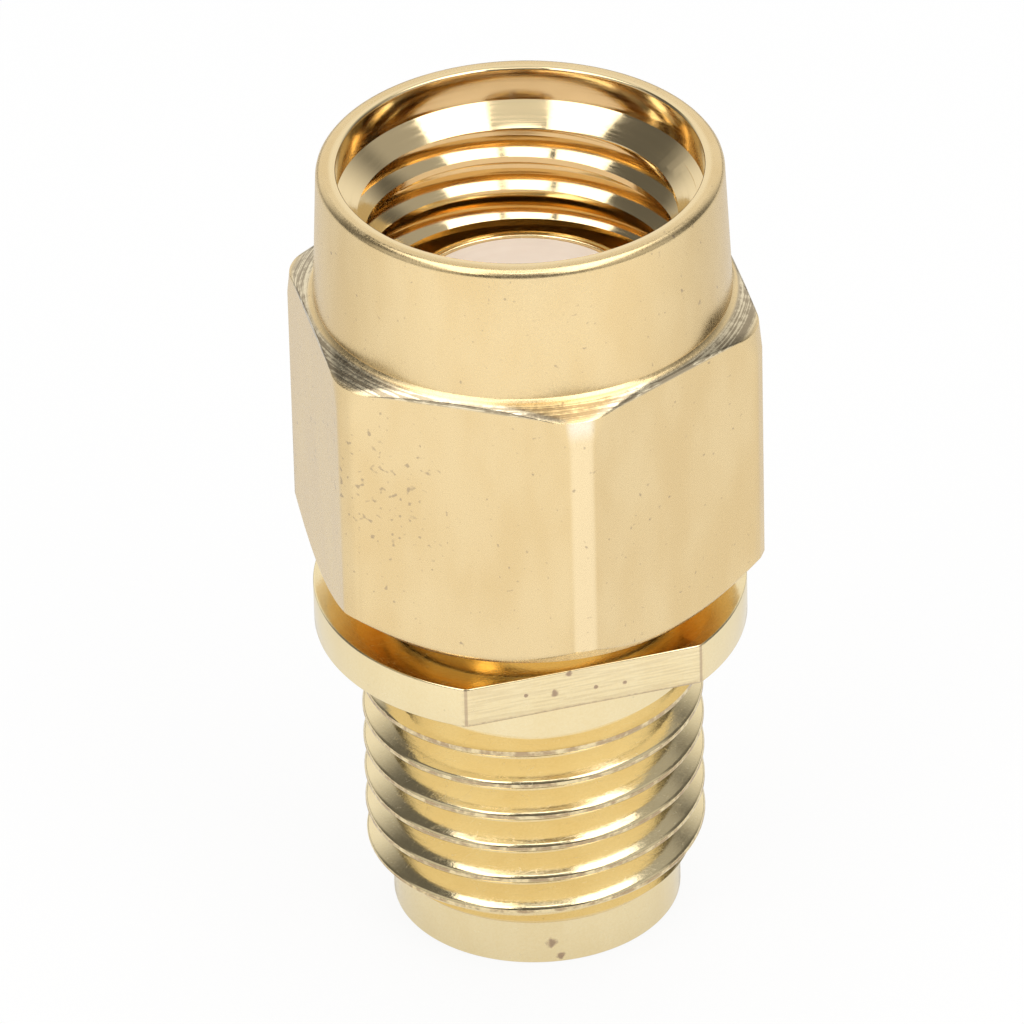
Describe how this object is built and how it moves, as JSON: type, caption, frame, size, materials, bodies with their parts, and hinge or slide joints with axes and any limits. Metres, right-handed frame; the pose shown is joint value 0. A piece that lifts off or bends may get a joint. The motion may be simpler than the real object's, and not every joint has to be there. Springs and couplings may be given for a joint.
{
  "type": "coaxial adapter",
  "caption": "Straight coaxial adapter: a plug with a captive hex coupling nut on one end, an outside-threaded jack with spanner flats on the other, white insulators and a socket contact.",
  "frame": {"origin": "centre of the jack's end face, on which the adapter stands", "axes": "+Z along the adapter's axis from the jack to the plug; the flange's spanner flats face -Y and +Y"},
  "size_m": [0.0082, 0.009, 0.0158],
  "materials": {
    "body_plate": "gold plate, glossy on the thread",
    "nut_plate": "gold plate, satin",
    "ring_bronze": "spring bronze",
    "insulator": "white PTFE, matt",
    "contact_plate": "gold plate"
  },
  "bodies": {
    "adapter_body": {"body": "body_plate", "plug_insulator": "insulator", "jack_insulator": "insulator", "centre_contact": "contact_plate"},
    "ring": {"snap_ring": "ring_bronze"},
    "nut": {"coupling_nut": "nut_plate"}
  },
  "joints": [
    {"name": "ring_float", "type": "slide", "parent": "adapter_body", "child": "ring", "axis": [0, 0, 1], "range_m": [0, 0.00025]},
    {"name": "nut_spin", "type": "hinge", "parent": "ring", "child": "nut", "pos_m": [0, 0, 0.00928], "axis": [0, 0, 1], "continuous": true}
  ]
}
